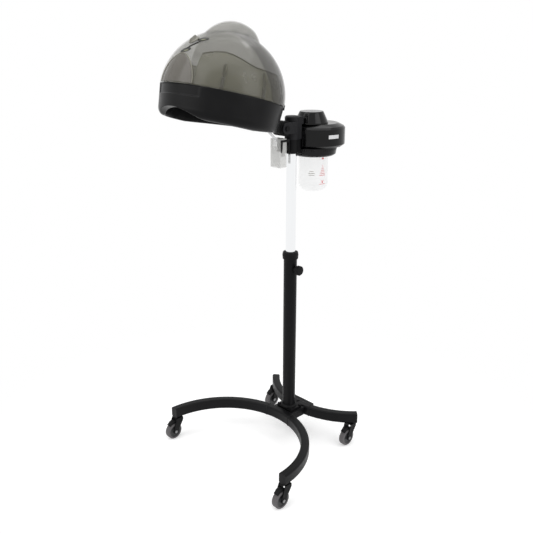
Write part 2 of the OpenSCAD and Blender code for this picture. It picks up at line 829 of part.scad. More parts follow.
base_hub();
arm_front_left();
arm_front_right();
arm_rear_left();
arm_rear_right();
arm_end_caps();
stem_bushes();
hub_bolts();
caster_fork_front_left();
caster_axle_front_left();
wheel_core_front_left();
tyre_front_left();
caster_fork_front_right();
caster_axle_front_right();
wheel_core_front_right();
tyre_front_right();
caster_fork_rear_left();
caster_axle_rear_left();
wheel_core_rear_left();
tyre_rear_left();
caster_fork_rear_right();
caster_axle_rear_right();
wheel_core_rear_right();
tyre_rear_right();
outer_column();
column_foot_ring();
column_collar();
guide_bush();
chrome_tube();
lock_knob();
lock_stud();
mast_socket();
head_sleeve();
head_lower_shell();
head_upper_shell();
top_cap();
name_plate();
power_switch();
indicator_lens();
power_inlet();
boiler();
heater_ring();
boiler_gasket();
steam_pipe();
head_screws();
bottle_ring();
water_bottle();
hood_neck();
tilt_pin();
tilt_knob();
cup_holder();
drip_cup();
drain_tube();
hood_collar();
dome_shell();
crown_scoop();
face_visor();
vent_dial();
steam_diffuser();
seam_clips();
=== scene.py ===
"""Hood hair dryer of the steamer kind on a rolling stand.

The visual model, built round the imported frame.
"""
import json
import math

import bpy
from mathutils import Matrix, Vector


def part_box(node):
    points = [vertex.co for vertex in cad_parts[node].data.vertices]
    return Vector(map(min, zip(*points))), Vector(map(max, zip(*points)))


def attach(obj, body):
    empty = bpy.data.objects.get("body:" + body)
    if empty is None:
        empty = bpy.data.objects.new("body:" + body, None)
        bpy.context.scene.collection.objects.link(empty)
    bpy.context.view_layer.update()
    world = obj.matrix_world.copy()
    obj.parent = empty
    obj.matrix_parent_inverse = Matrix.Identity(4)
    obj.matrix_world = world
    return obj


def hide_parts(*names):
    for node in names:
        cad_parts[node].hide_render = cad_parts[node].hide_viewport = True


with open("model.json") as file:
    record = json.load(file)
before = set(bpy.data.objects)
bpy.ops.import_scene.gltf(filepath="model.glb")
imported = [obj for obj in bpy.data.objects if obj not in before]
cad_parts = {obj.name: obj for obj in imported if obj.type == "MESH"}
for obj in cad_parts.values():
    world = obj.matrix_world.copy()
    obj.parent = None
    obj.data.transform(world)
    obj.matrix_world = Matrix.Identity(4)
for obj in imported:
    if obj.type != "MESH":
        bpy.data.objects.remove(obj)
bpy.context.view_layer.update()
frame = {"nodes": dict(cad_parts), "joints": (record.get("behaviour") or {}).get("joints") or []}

MM = 0.001
JOINTS = {j["name"]: j for j in frame["joints"]}
NODES = frame["nodes"]
CORNERS = ("front_left", "front_right", "rear_left", "rear_right")
M = {}  # finishes by short name, filled by make_materials


# ---------- camera and stage ----------

CAMERA_LENS_MM = 46.87
CAMERA_PLACE = (1.3039, -1.2508, 1.1867)
CAMERA_TURN_DEG = (71.29, 0, 45.89)

# name, place, what it points at, size, watts
LIGHTS = (
    ("key", (-0.6, -2.6, 2.7), (0, -0.05, 0.6), (2.6, 2.6), 44),
    ("side", (2.7, 0.6, 2.1), (0, 0, 0.7), (1.8, 2.4), 26),
    ("top", (0.1, 0.2, 3.3), (0, 0, 0.5), (3.0, 3.0), 34),
)
WORLD_SEEN = 1.0    # strength for the camera and for reflections
WORLD_LIGHT = 0.52  # strength for all other light
FLOOR_HALF = 9
FLOOR_LIFT = 0.30
FADE_NEAR, FADE_FAR = 0.30, 0.95


def make_camera():
    data = bpy.data.cameras.new("camera")
    data.sensor_width = 36.0
    data.lens = CAMERA_LENS_MM
    data.clip_start = 0.05
    cam = bpy.data.objects.new("camera", data)
    cam.location = CAMERA_PLACE
    cam.rotation_euler = [math.radians(a) for a in CAMERA_TURN_DEG]
    bpy.context.scene.collection.objects.link(cam)
    bpy.context.scene.camera = cam


def area_light(name, at, target, size, watts):
    data = bpy.data.lights.new(name, "AREA")
    data.shape = "RECTANGLE"
    data.size, data.size_y = size
    data.energy = watts
    light = bpy.data.objects.new(name, data)
    light.location = at
    aim = Vector(target) - Vector(at)
    light.rotation_euler = aim.to_track_quat("-Z", "Y").to_euler()
    bpy.context.scene.collection.objects.link(light)


def fade_out(mat, near, far):
    """Floor paper that lifts to white and thins out away from the origin."""
    tree = mat.node_tree
    shader = tree.nodes["Principled BSDF"]
    coords = tree.nodes.new("ShaderNodeTexCoord")
    away = tree.nodes.new("ShaderNodeVectorMath")
    away.operation = "LENGTH"
    tree.links.new(coords.outputs["Object"], away.inputs[0])
    ramp = tree.nodes.new("ShaderNodeMapRange")
    ramp.interpolation_type = "SMOOTHSTEP"
    for key, value in (("From Min", near), ("From Max", far), ("To Min", 1.0), ("To Max", 0.0)):
        ramp.inputs[key].default_value = value
    tree.links.new(away.outputs["Value"], ramp.inputs["Value"])
    tree.links.new(ramp.outputs["Result"], shader.inputs["Alpha"])
    shader.inputs["Emission Color"].default_value = (1, 1, 1, 1)
    shader.inputs["Emission Strength"].default_value = FLOOR_LIFT


def make_world():
    """White world: stronger for the camera and for reflections than as a light."""
    world = bpy.data.worlds.new("studio")
    bpy.context.scene.world = world
    world.use_nodes = True
    tree = world.node_tree
    back = tree.nodes["Background"]
    back.inputs["Color"].default_value = (1, 1, 1, 1)
    seen = tree.nodes.new("ShaderNodeBackground")
    seen.inputs["Color"].default_value = (1, 1, 1, 1)
    back.inputs["Strength"].default_value = WORLD_LIGHT
    seen.inputs["Strength"].default_value = WORLD_SEEN
    path = tree.nodes.new("ShaderNodeLightPath")
    either = tree.nodes.new("ShaderNodeMath")
    either.operation = "MAXIMUM"
    tree.links.new(path.outputs["Is Camera Ray"], either.inputs[0])
    tree.links.new(path.outputs["Is Glossy Ray"], either.inputs[1])
    mix = tree.nodes.new("ShaderNodeMixShader")
    tree.links.new(either.outputs[0], mix.inputs["Fac"])
    tree.links.new(back.outputs[0], mix.inputs[1])
    tree.links.new(seen.outputs[0], mix.inputs[2])
    tree.links.new(mix.outputs[0], tree.nodes["World Output"].inputs["Surface"])


def make_stage():
    bpy.context.scene.view_settings.view_transform = "Standard"
    make_world()
    for light in LIGHTS:
        area_light(*light)
    h = FLOOR_HALF
    floor = mesh_object("studio_floor", [(-h, -h, 0), (h, -h, 0), (h, h, 0), (-h, h, 0)],
                        [(0, 1, 2, 3)])
    paper = surface("floor_paper", (0.93, 0.93, 0.93), (0.96, 0.96, 0.96), grain=3.0,
                    rough=(0.75, 0.9), bump=0.0, spec=0.0)
    fade_out(paper, FADE_NEAR, FADE_FAR)
    floor.data.materials.append(paper)


# ---------- materials ----------

# sockets of the Mix node in its colour mode, which share their names with the other modes
MIX_A, MIX_B, MIX_OUT = 6, 7, 2


def surface(name, dark, light, grain=60.0, rough=(0.3, 0.45), bump=0.05, bump_grain=900.0,
            metal=0.0, alpha=None, coat=0.0, streak=None, spec=0.5):
    """Procedural finish: two close tones mixed by noise, varying roughness and a fine bump."""
    mat = bpy.data.materials.new(name)
    mat.use_nodes = True
    tree = mat.node_tree
    shader = tree.nodes["Principled BSDF"]
    coords = tree.nodes.new("ShaderNodeTexCoord")
    where = coords.outputs["Object"]
    if streak:
        squeeze = tree.nodes.new("ShaderNodeMapping")
        squeeze.inputs["Scale"].default_value = streak
        tree.links.new(where, squeeze.inputs["Vector"])
        where = squeeze.outputs["Vector"]
    noise = tree.nodes.new("ShaderNodeTexNoise")
    noise.inputs["Scale"].default_value = grain
    noise.inputs["Detail"].default_value = 4.0
    tree.links.new(where, noise.inputs["Vector"])
    tone = tree.nodes.new("ShaderNodeMix")
    tone.data_type = "RGBA"
    tone.inputs[MIX_A].default_value = (*dark, 1)
    tone.inputs[MIX_B].default_value = (*light, 1)
    tree.links.new(noise.outputs["Fac"], tone.inputs["Factor"])
    tree.links.new(tone.outputs[MIX_OUT], shader.inputs["Base Color"])
    span = tree.nodes.new("ShaderNodeMapRange")
    span.inputs["From Min"].default_value = 0.3
    span.inputs["From Max"].default_value = 0.7
    span.inputs["To Min"].default_value = rough[0]
    span.inputs["To Max"].default_value = rough[1]
    tree.links.new(noise.outputs["Fac"], span.inputs["Value"])
    tree.links.new(span.outputs["Result"], shader.inputs["Roughness"])
    if bump:
        fine = tree.nodes.new("ShaderNodeTexNoise")
        fine.inputs["Scale"].default_value = bump_grain
        fine.inputs["Detail"].default_value = 3.0
        tree.links.new(where, fine.inputs["Vector"])
        relief = tree.nodes.new("ShaderNodeBump")
        relief.inputs["Strength"].default_value = bump
        relief.inputs["Distance"].default_value = 0.0004
        tree.links.new(fine.outputs["Fac"], relief.inputs["Height"])
        tree.links.new(relief.outputs["Normal"], shader.inputs["Normal"])
    shader.inputs["Metallic"].default_value = metal
    shader.inputs["Coat Weight"].default_value = coat
    shader.inputs["Coat Roughness"].default_value = 0.06
    shader.inputs["IOR"].default_value = 1.46
    shader.inputs["Specular IOR Level"].default_value = spec
    if alpha is not None:
        shader.inputs["Alpha"].default_value = alpha
    return mat


def banded(mat, dark, clear, dense):
    """Darkens and thickens a finish where the mesh's own tone value rises to 1."""
    tree = mat.node_tree
    shader = tree.nodes["Principled BSDF"]
    tone = tree.nodes.new("ShaderNodeAttribute")
    tone.attribute_name = "tone"
    blend = tree.nodes.new("ShaderNodeMix")
    blend.data_type = "RGBA"
    was = shader.inputs["Base Color"].links[0].from_socket
    blend.inputs[MIX_B].default_value = (*dark, 1)
    tree.links.new(tone.outputs["Fac"], blend.inputs["Factor"])
    tree.links.new(was, blend.inputs[MIX_A])
    tree.links.new(blend.outputs[MIX_OUT], shader.inputs["Base Color"])
    cover = tree.nodes.new("ShaderNodeMapRange")
    cover.inputs["To Min"].default_value = clear
    cover.inputs["To Max"].default_value = dense
    tree.links.new(tone.outputs["Fac"], cover.inputs["Value"])
    tree.links.new(cover.outputs["Result"], shader.inputs["Alpha"])


# ---------- mesh helpers ----------

def mesh_object(name, points, faces, smooth=True):
    mesh = bpy.data.meshes.new(name)
    mesh.from_pydata([tuple(p) for p in points], [], faces)
    mesh.validate()
    mesh.polygons.foreach_set("use_smooth", [smooth] * len(mesh.polygons))
    mesh.update()
    piece = bpy.data.objects.new(name, mesh)
    bpy.context.scene.collection.objects.link(piece)
    return piece


def place(piece, body, mat, stands_for=()):
    piece.data.materials.clear()
    piece.data.materials.append(mat)
    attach(piece, body)
    if stands_for:
        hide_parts(*stands_for)
    return piece


def grid_faces(rows, cols, wrap=False):
    faces = []
    for i in range(rows - 1):
        for j in range(cols if wrap else cols - 1):
            k = (j + 1) % cols
            faces.append((i * cols + j, i * cols + k, (i + 1) * cols + k, (i + 1) * cols + j))
    return faces


def ring_solid(name, profile, to_row, steps, radial=None):
    """A closed profile of (radius, height) turned about an axis; radial(az, r, z) may move it."""
    points, faces = [], []
    count = len(profile)
    for i in range(steps):
        az = 2 * math.pi * i / steps
        for r, z in profile:
            if radial:
                r = radial(az, r, z)
            points.append(to_row(r * math.sin(az), -r * math.cos(az), z))
    for i in range(steps):
        n = (i + 1) % steps
        for j in range(count):
            k = (j + 1) % count
            faces.append((i * count + j, n * count + j, n * count + k, i * count + k))
    return mesh_object(name, points, faces)


def swept(name, path, radius, sides=10, closed=False):
    """A round bead along a path of row points."""
    points, faces = [], []
    count = len(path)
    normal = None
    for i, p in enumerate(path):
        if closed:
            ahead = path[(i + 1) % count] - path[i - 1]
        else:
            ahead = path[min(i + 1, count - 1)] - path[max(i - 1, 0)]
        ahead.normalize()
        if normal is None:
            normal = ahead.orthogonal().normalized()
        normal = (normal - ahead * normal.dot(ahead)).normalized()
        other = ahead.cross(normal)
        for s in range(sides):
            a = 2 * math.pi * s / sides
            points.append(p + (normal * math.cos(a) + other * math.sin(a)) * radius)
    faces = grid_faces(count, sides, wrap=True)
    if closed:
        for s in range(sides):
            t = (s + 1) % sides
            faces.append(((count - 1) * sides + s, (count - 1) * sides + t, t, s))
    else:
        faces.append(tuple(reversed(range(sides))))
        faces.append(tuple(range((count - 1) * sides, count * sides)))
    return mesh_object(name, points, faces)


def flip_if_inward(piece, centre=None):
    """For a sheet or a small piece: its middle face has to look away from the centre."""
    middle = centre if centre is not None else dome_centre
    f = piece.data.polygons[len(piece.data.polygons) // 2]
    if (f.center - middle).dot(f.normal) < 0:
        piece.data.flip_normals()


def flip_if_inward_ring(piece):
    """For a turned ring: the face that is farthest out has to look outward."""
    far = max(piece.data.polygons, key=lambda f: (f.center - dome_centre).length)
    if (far.center - dome_centre).dot(far.normal) < 0:
        piece.data.flip_normals()


def flip_if_inward_round(piece, axis):
    """For a piece turned about a vertical axis: its widest face has to look outward."""
    far = max(piece.data.polygons,
              key=lambda f: math.hypot(f.center.x - axis.x, f.center.y - axis.y))
    out = Vector((far.center.x - axis.x, far.center.y - axis.y, 0))
    if out.dot(far.normal) < 0:
        piece.data.flip_normals()


def flip_if_inward_solid(piece):
    """For a closed piece: signed volume below zero means that the faces look inward."""
    volume = 0.0
    for f in piece.data.polygons:
        corners = [piece.data.vertices[i].co for i in f.vertices]
        for i in range(1, len(corners) - 1):
            volume += corners[0].dot(corners[i].cross(corners[i + 1]))
    if volume < 0:
        piece.data.flip_normals()


def shell(piece, thickness):
    thick = piece.modifiers.new("thickness", "SOLIDIFY")
    thick.thickness = thickness
    thick.offset = -1
    thick.use_even_offset = True
    return piece


def soften(node, width, segments=3, angle=32):
    """Rounds a CAD node's sharp edges with modifiers; its own vertices stay as they are."""
    piece = NODES[node]
    if "custom_normal" in piece.data.attributes:
        piece.data.attributes.remove(piece.data.attributes["custom_normal"])
    piece.data.polygons.foreach_set("use_smooth", [True] * len(piece.data.polygons))
    weld = piece.modifiers.new("weld", "WELD")
    weld.merge_threshold = 2e-6
    bevel = piece.modifiers.new("edges", "BEVEL")
    bevel.width = width
    bevel.segments = segments
    bevel.limit_method = "ANGLE"
    bevel.angle_limit = math.radians(angle)
    bevel.miter_outer = "MITER_ARC"
    even = piece.modifiers.new("shading", "WEIGHTED_NORMAL")
    even.keep_sharp = True


def paint(mat, *nodes):
    for n in nodes:
        NODES[n].data.materials.clear()
        NODES[n].data.materials.append(mat)


def smooth_step(x, low, high):
    t = min(1.0, max(0.0, (x - low) / (high - low)))
    return t * t * (3 - 2 * t)


def soft_max(a, b, k):
    h = max(k - abs(a - b), 0.0) / k
    return max(a, b) + h * h * k / 4


def soft_min(a, b, k):
    return -soft_max(-a, -b, k)


# ---------- the hood's own tilted frame, in mm with the dome's centre at the origin ----------

TILT = math.radians(15)
PIVOT_TO_DOME = Vector((0, -0.203, 0.094))
dome_centre = Vector(JOINTS["hood_tilt"]["pos_m"]) + PIVOT_TO_DOME
hood_turn = Matrix.Rotation(-TILT, 3, "X")


def hood(x, y, z):
    return dome_centre + hood_turn @ (Vector((x, y, z)) * MM)


def on_dome(az, el, r):
    """A point of the hood from degrees round from the front and degrees above the seam."""
    a, e = math.radians(az), math.radians(el)
    return hood(r * math.cos(e) * math.sin(a), -r * math.cos(e) * math.cos(a), r * math.sin(e))


DOME_R = 151.0
BAND_SLOPE = 0.45
BAND_Y = 25.0
BAND_STEP = 0.9


def behind_band(y, z):
    """Distance in mm behind the leaning line where the rear band starts."""
    return (y + BAND_SLOPE * z - BAND_Y) / math.hypot(1, BAND_SLOPE)


def scoop_radius(d):
    """Distance from the dome's centre to the crown scoop's surface along direction d."""
    ring_y, ring_z, ring_r, tube_r = 15.0, 60.0, 89.5, 28.0
    floor, far = 140.0, 200.0

    def outside(r):
        x, y, z = d[0] * r, d[1] * r - ring_y, d[2] * r - ring_z
        return (math.hypot(y, z) - ring_r) ** 2 + x * x - tube_r ** 2

    if d[2] <= 0.3 or outside(floor) > 0:
        return floor
    low, high = floor, far
    for _ in range(24):
        mid = (low + high) / 2
        if outside(mid) > 0:
            high = mid
        else:
            low = mid
    # the rear end is cut by a leaning plane through (rear_y, rear_z)
    lean, rear_y, rear_z = math.radians(28), 70, 135
    slope = d[1] * math.cos(lean) + d[2] * math.sin(lean)
    rear = (rear_y * math.cos(lean) + rear_z * math.sin(lean)) / slope if slope > 0 else far
    return soft_min(low, rear, 4.0)


def on_band(d):
    """0 in front of the rear band, rising to 1 on it, along direction d."""
    return smooth_step(behind_band(d[1] * DOME_R, d[2] * DOME_R), -1.5, 1.5)


def dome_radius(d):
    r = DOME_R + BAND_STEP * on_band(d)
    return soft_max(r, scoop_radius(d), 1.6)


def dome_tone(d):
    """0 on the plain shell, up to 1 on the rear band and along the scoop's foot."""
    rise = scoop_radius(d) - DOME_R
    foot = 1 - smooth_step(abs(rise + 1.0), 1.0, 4.0)
    return max(0.0 if rise > 1 else on_band(d), foot)


def disc_point(u, v):
    """Square to disc, keeping quads even."""
    if u == 0 and v == 0:
        return 0.0, 0.0
    if abs(u) > abs(v):
        return abs(u), (math.pi / 4) * (v / u) + (math.pi if u < 0 else 0)
    return abs(v), math.pi / 2 - (math.pi / 4) * (u / v) + (math.pi if v < 0 else 0)


def make_dome():
    cells = 220
    low_el = 0.5
    points, tones = [], []
    for i in range(cells + 1):
        for j in range(cells + 1):
            rho, phi = disc_point(2 * i / cells - 1, 2 * j / cells - 1)
            el = math.radians(90 - rho * (90 - low_el))
            d = (math.cos(el) * math.cos(phi), math.cos(el) * math.sin(phi), math.sin(el))
            r = dome_radius(d)
            points.append(hood(d[0] * r, d[1] * r, d[2] * r))
            tones.append(dome_tone(d))
    dome = mesh_object("dome_outer", points, grid_faces(cells + 1, cells + 1))
    flip_if_inward(dome)
    tone = dome.data.attributes.new("tone", "FLOAT", "POINT")
    tone.data.foreach_set("value", tones)
    shell(dome, 2.4 * MM)
    return place(dome, "hood", M["smoke"], ("dome_shell", "crown_scoop"))


def make_visor():
    """Arched window panel that stands proud of the dome, with its rim, whose lighter colour is a
    painted highlight.
    """
    arc_r, inset, foot, top, rows, cols = 73.0, 17.0, 3.0, 70.6, 40, 40

    def half_width(z, least):
        return max(math.sqrt(arc_r ** 2 - z ** 2) - inset, least)

    points = []
    for i in range(rows + 1):
        z = foot + (top - foot) * i / rows
        half = half_width(z, 0.15)
        for j in range(cols + 1):
            s = 2 * j / cols - 1
            x = half * s
            edge = min((1 - abs(s)) * half, top - z + 1.0)
            r = DOME_R + 0.5 + 1.5 * smooth_step(edge, -0.3, 2.6)
            y = -math.sqrt(r * r - x * x - z * z)
            points.append(hood(x, y, z))
    visor = mesh_object("visor_panel", points, grid_faces(rows + 1, cols + 1))
    flip_if_inward(visor)
    shell(visor, 1.2 * MM)
    place(visor, "hood", M["visor"], ("face_visor",))
    # painted highlight: the rim bead gets a lighter finish than the panel
    rim, r = [], DOME_R + 1.2
    # up one edge, over the top and down the other
    for side, steps in ((-1, range(31)), (1, range(29, -1, -1))):
        for k in steps:
            z = foot + (top - foot) * k / 30
            x = side * half_width(z, 0.0)
            rim.append(hood(x, -math.sqrt(r * r - x * x - z * z), z))
    place(swept("visor_rim", rim, 1.5 * MM), "hood", M["rim"])


def lens(name, az, el, r, half_w, half_h, turn, mat, thick=0.9):
    """A thin pointed-oval plate that lies on the dome."""
    rings, sides = 6, 28
    lean = math.radians(turn)
    points = [on_dome(az, el, r + thick)]
    to_deg = math.degrees(1 / r)
    levels = [(i, thick) for i in range(1, rings + 1)] + [(rings, 0.0)]
    for i, lift in levels:
        for j in range(sides):
            t = 2 * math.pi * j / sides
            u = half_w * math.cos(t) * abs(math.cos(t)) ** 0.4 * i / rings
            v = half_h * math.sin(t) * i / rings
            x = u * math.cos(lean) - v * math.sin(lean)
            y = u * math.sin(lean) + v * math.cos(lean)
            fall = lift * (1 - 0.5 * (i / rings) ** 4)
            points.append(on_dome(az + x * to_deg / math.cos(math.radians(el)),
                                  el + y * to_deg, r + fall))
    faces = [(0, 1 + j, 1 + (j + 1) % sides) for j in range(sides)]
    for i in range(rings):
        for j in range(sides):
            k = (j + 1) % sides
            a, b = 1 + i * sides, 1 + (i + 1) * sides
            faces.append((a + j, b + j, b + k, a + k))
    last = 1 + rings * sides
    faces.append(tuple(reversed(range(last, last + sides))))
    plate = mesh_object(name, points, faces)
    return place(plate, "hood", mat)


def make_vents():
    """The two vent slots with the crease between them, and the turning vent knob."""
    for tag, az, el, turn in (("low", 0.0, 31.0, 14), ("high", 12.0, 45.5, 16)):
        lens("vent_slot_" + tag, az, el, DOME_R + 0.4, 15, 7.0, turn, M["slot"], 1.2)
        lens("vent_glint_" + tag, az + 1.8, el - 1.0, DOME_R + 1.3, 7.0, 2.8, turn, M["olive"], 0.7)
    crease = []
    for k in range(25):
        t = k / 24
        wave = math.sin((t - 0.5) * math.pi)
        crease.append(on_dome(3 + 6 * t + 2.2 * wave, 33 + 10 * t, DOME_R + 0.7))
    place(swept("vent_crease", crease, 1.4 * MM, 8), "hood", M["slot"])
    along = Vector(JOINTS["vent_turn"]["axis"]).normalized()
    seat = Vector(JOINTS["vent_turn"]["pos_m"])
    side = Vector((1, 0, 0))
    up = along.cross(side)

    def at(x, y, z):
        return seat + (side * x + up * y + along * z) * MM

    knob = [(0.01, 1.4), (12.2, 1.4), (12.9, 1.8), (13.1, 2.6), (12.9, 3.6), (12.0, 4.3),
            (9.0, 4.9), (5.0, 5.2), (0.01, 5.3)]
    disc = ring_solid("vent_knob", knob, at, 64)
    flip_if_inward(disc, seat)
    place(disc, "vent", M["knob"], ("vent_dial",))
    points = []
    for z, half_x, half_y in ((4.4, 2.4, 11.6), (5.2, 1.9, 11.2), (8.0, 1.5, 10.2),
                              (9.4, 1.2, 9.0), (9.9, 0.6, 7.6)):
        for j in range(20):
            t = 2 * math.pi * j / 20
            points.append(at(half_x * math.cos(t), half_y * math.copysign(
                abs(math.sin(t)) ** 0.6, math.sin(t)), z))
    faces = grid_faces(5, 20, wrap=True) + [tuple(reversed(range(20))), tuple(range(80, 100))]
    place(mesh_object("vent_grip", points, faces), "vent", M["knob"])


def make_liner():
    """The steam guide inside the dome: two side walls with arched tops and tall slots."""
    first, last, cols, rows = 19.0, 341.0, 180, 16
    points = []
    for i in range(rows + 1):
        for j in range(cols + 1):
            az = first + (last - first) * j / cols
            front = min(abs(az - 44), abs(az - 316))
            top = 33 + 5 * math.cos(math.radians(min(front * 4.0, 150)))
            el = 0.6 + (top - 0.6) * i / rows
            points.append(on_dome(az, el, 140.0))
    wall = mesh_object("steam_liner", points, grid_faces(rows + 1, cols + 1))
    flip_if_inward(wall)
    shell(wall, 2.0 * MM)
    place(wall, "hood", M["liner"], ("steam_diffuser",))
    edge = points[-(cols + 1):]
    place(swept("liner_edge", [Vector(p) for p in edge], 1.8 * MM, 8), "hood",
          M["slot"])
    for az in (48, 90, 132, 180, 228, 270, 312):
        lens(f"liner_slot_{az}", az, 18.5, 142.4, 5.6, 18, 0, M["slot"], 1.6)
        lens(f"liner_slot_glint_{az}", az + 1.0, 20.5, 144.1, 1.9, 11, 0, M["olive"], 0.5)
        rib = [on_dome(az - 0.6, e, 142.0) for e in (1, 3, 5, 7, 9, 11.5)]
        place(swept(f"liner_rib_{az}", rib, 4.4 * MM, 12), "hood", M["rib"])


def lip_floor(x, y):
    """Lowest height of the collar at a place: face arch in front, a slow rise behind."""
    rear = -71.5 + max(y, 0.0) * math.tan(math.radians(6.3))
    if y > 0 or abs(x) > 90:
        return rear
    return soft_max(rear, -201.0 + math.sqrt(150.0 ** 2 - x * x), 5.0)


def make_collar():
    """Black collar with its full lip, the face arch, the seam line with its painted shadow and a
    lighter bead round the foot that is a painted highlight.
    """
    low_r, low_z, lip_w, lip_h, inner = 146.0, -50.0, 17.0, 21.0, 127.0
    profile = [(inner + 0.6, -0.3), (inner + 1.5, 0.0), (140.0, 0.0), (149.0, 0.0), (149.9, -0.3),
               (150.4, -1.2)]
    outer = [-3, -5, -8, -12, -16, -19, -20.5, -21.5, -22.5, -23.5, -25, -28, -32, -37, -42, -46]
    profile += [(150.5 - 4.5 * (-z / 50), z) for z in outer]
    for a in range(0, 91, 6):
        t = math.radians(a)
        profile.append((low_r - lip_w + lip_w * math.cos(t), low_z - lip_h * math.sin(t)))
    profile += [(128.0, -70.6), (127.3, -69.6), (inner, -67.5)]
    profile += [(inner, z) for z in (-60.0, -52.0, -44.0, -30.0, -2.0)]

    def panel(az, r, z):
        turn = math.degrees((az + math.pi) % (2 * math.pi) - math.pi)
        if r < 140 or z < -30:
            return r
        sides = 1 - smooth_step(abs(turn), 28.0, 29.6)
        foot = smooth_step(z, -23.6, -21.4)
        return r - 2.2 * sides * foot

    def cut(x, y, z):
        return hood(x, y, soft_max(z, lip_floor(x, y), 2.5) if z < -20 else z)

    collar = ring_solid("collar_body", profile, cut, 320, panel)
    flip_if_inward_ring(collar)
    place(collar, "hood", M["collar"], ("hood_collar",))
    seam = [on_dome(a, 0.05, 149.9) for a in range(0, 360, 3)]
    place(swept("seam_shadow", seam, 0.75 * MM, 8, closed=True), "hood", M["gap"])
    # painted highlight: a lighter bead along the opening's lower rim stands for the light line on
    # the lip's edge
    bead = []
    for a in range(0, 360, 2):
        x, y = 127.6 * math.sin(math.radians(a)), -127.6 * math.cos(math.radians(a))
        bead.append(hood(x, y, lip_floor(x, y) + 1.2))
    place(swept("collar_highlight_bead", bead, 0.9 * MM, 8, closed=True), "hood",
          M["edge"])


# ---------- water bottle ----------

def make_bottle():
    """Clear hollow bottle with two beads and plain fill marks that carry no words."""
    low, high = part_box("water_bottle")
    axis = Vector(((low.x + high.x) / 2, (low.y + high.y) / 2, low.z))
    height = (high.z - low.z) / MM
    radius = (high.x - low.x) / 2 / MM

    def at(x, y, z):
        return axis + Vector((x, y, z)) * MM

    outer = [(0.02, 2.0), (20, 1.8), (26, 0.6), (29.2, 0.0), (31.5, 0.9), (34, 3.2),
             (radius - 2.2, 11.2), (radius - 0.6, 14.0), (radius, 17.5), (radius, height - 9),
             (radius - 0.8, height - 6.4), (radius - 3, height - 5.2), (24, height - 5),
             (23, height - 4), (23, height)]
    inner = [(21, height), (21, height - 7), (radius - 4, height - 7.4),
             (radius - 1.9, height - 9.5), (radius - 1.9, 17.5), (radius - 4.2, 12.4), (31, 5.4),
             (28.6, 3.2), (20, 3.6), (0.02, 3.8)]
    body = ring_solid("bottle_body", outer + inner, at, 96)
    flip_if_inward_round(body, axis)
    place(body, "bottle", M["clear"], ("water_bottle",))
    for k, rel_z in enumerate((20, height - 12)):
        bead = [at((radius + 0.2) * math.sin(math.radians(a)),
                   -(radius + 0.2) * math.cos(math.radians(a)), rel_z) for a in range(0, 360, 5)]
        place(swept(f"bottle_bead_{k}", bead, 0.45 * MM, 8, closed=True), "bottle",
              M["clear"])

    def decal(name, az, z, flat, mat):
        """A thin printed patch from flat (x, z) corners in mm, wrapped on the bottle."""
        count = len(flat)
        points = []
        for lift in (0.12, 0.32):
            for x, h in flat:
                a = math.radians(az) + x / radius
                r = radius + lift
                points.append(at(r * math.sin(a), -r * math.cos(a), z + h))
        faces = [tuple(reversed(range(count))), tuple(range(count, 2 * count))]
        faces += [(i, (i + 1) % count, count + (i + 1) % count, count + i) for i in range(count)]
        place(mesh_object(name, points, faces, False), "bottle", mat)

    def bar(name, az, z, x0, x1, thick, mat):
        steps = 8
        top = [(x0 + (x1 - x0) * i / steps, thick / 2) for i in range(steps + 1)]
        foot = [(x, -h) for x, h in top]
        decal(name, az, z, foot + top[::-1], mat)

    mark_az, note_az = 80, 36
    decal("mark_full", mark_az, 91, [(-4.5, 0), (4.5, 0), (0, 7)], M["red"])
    for k in range(7):
        half = 1.6 + 1.35 * k
        bar(f"mark_level_{k}", mark_az, 74 - 4.6 * k, -half, half, 2.0, M["pale_red"])
    decal("mark_low", mark_az, 24, [(-3.6, 5), (0, 0), (3.6, 5)], M["red"])
    bar("mark_low_line", mark_az, 22, -10, 10, 1.0, M["red"])
    bar("mark_low_top", mark_az, 31.5, -5, 5, 1.2, M["pale_red"])
    for k, half in enumerate((6.0, 9.0, 8.0)):
        bar(f"mark_note_{k}", note_az, 58 - 5.2 * k, -half, half, 1.3, M["print"])


# ---------- drain tube, wheel guards and arm joints ----------

def make_drain():
    """Short soft tube from the neck pad down into the drip cup."""
    low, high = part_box("drain_tube")
    start = Vector((0, low.y + 0.006, high.z - 0.002))
    end = Vector((0, high.y - 0.003, low.z + 0.001))
    lean, reach = Vector((0, 0.10, -0.99)), 0.016
    points = []
    for k in range(25):
        t = k / 24
        a, b = start + lean * reach * t, end - lean * reach * (1 - t)
        w = smooth_step(t, 0, 1)
        points.append(a * (1 - w) + b * w)
    place(swept("drain_hose", points, 3.2 * MM, 14), "hood", M["tube"],
          ("drain_tube",))


def make_guards():
    """Thin guard over each wheel, between the fork's cheeks, with the small front lug."""
    first_deg, span_deg, rows = -38, 100, 22
    for c in CORNERS:
        low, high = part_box("tyre_" + c)
        hub = (low + high) / 2
        outer = (high.z - low.z) / 2 / MM
        profile = [(-7.5, 1.6), (-7.0, 1.2), (7.0, 1.2), (7.5, 1.6), (7.2, 3.0), (6.0, 3.6),
                   (-6.0, 3.6), (-7.2, 3.0)]
        points = []
        for k in range(rows):
            a = math.radians(first_deg + span_deg * k / (rows - 1))
            lug = 2.2 * smooth_step(-a, math.radians(18), math.radians(36))
            lug += 5.4 * smooth_step(math.cos(a), 0.86, 0.98)
            for x, lift in profile:
                r = outer + lift + (lug if lift > 2 else 0.0)
                points.append(hub + Vector((x, r * math.sin(a), r * math.cos(a))) * MM)
        count = len(profile)
        faces = grid_faces(rows, count, wrap=True)
        faces += [tuple(reversed(range(count))), tuple(range((rows - 1) * count, rows * count))]
        guard = mesh_object("wheel_guard_" + c, points, faces)
        flip_if_inward_solid(guard)
        place(guard, "caster_" + c, M["matt"])


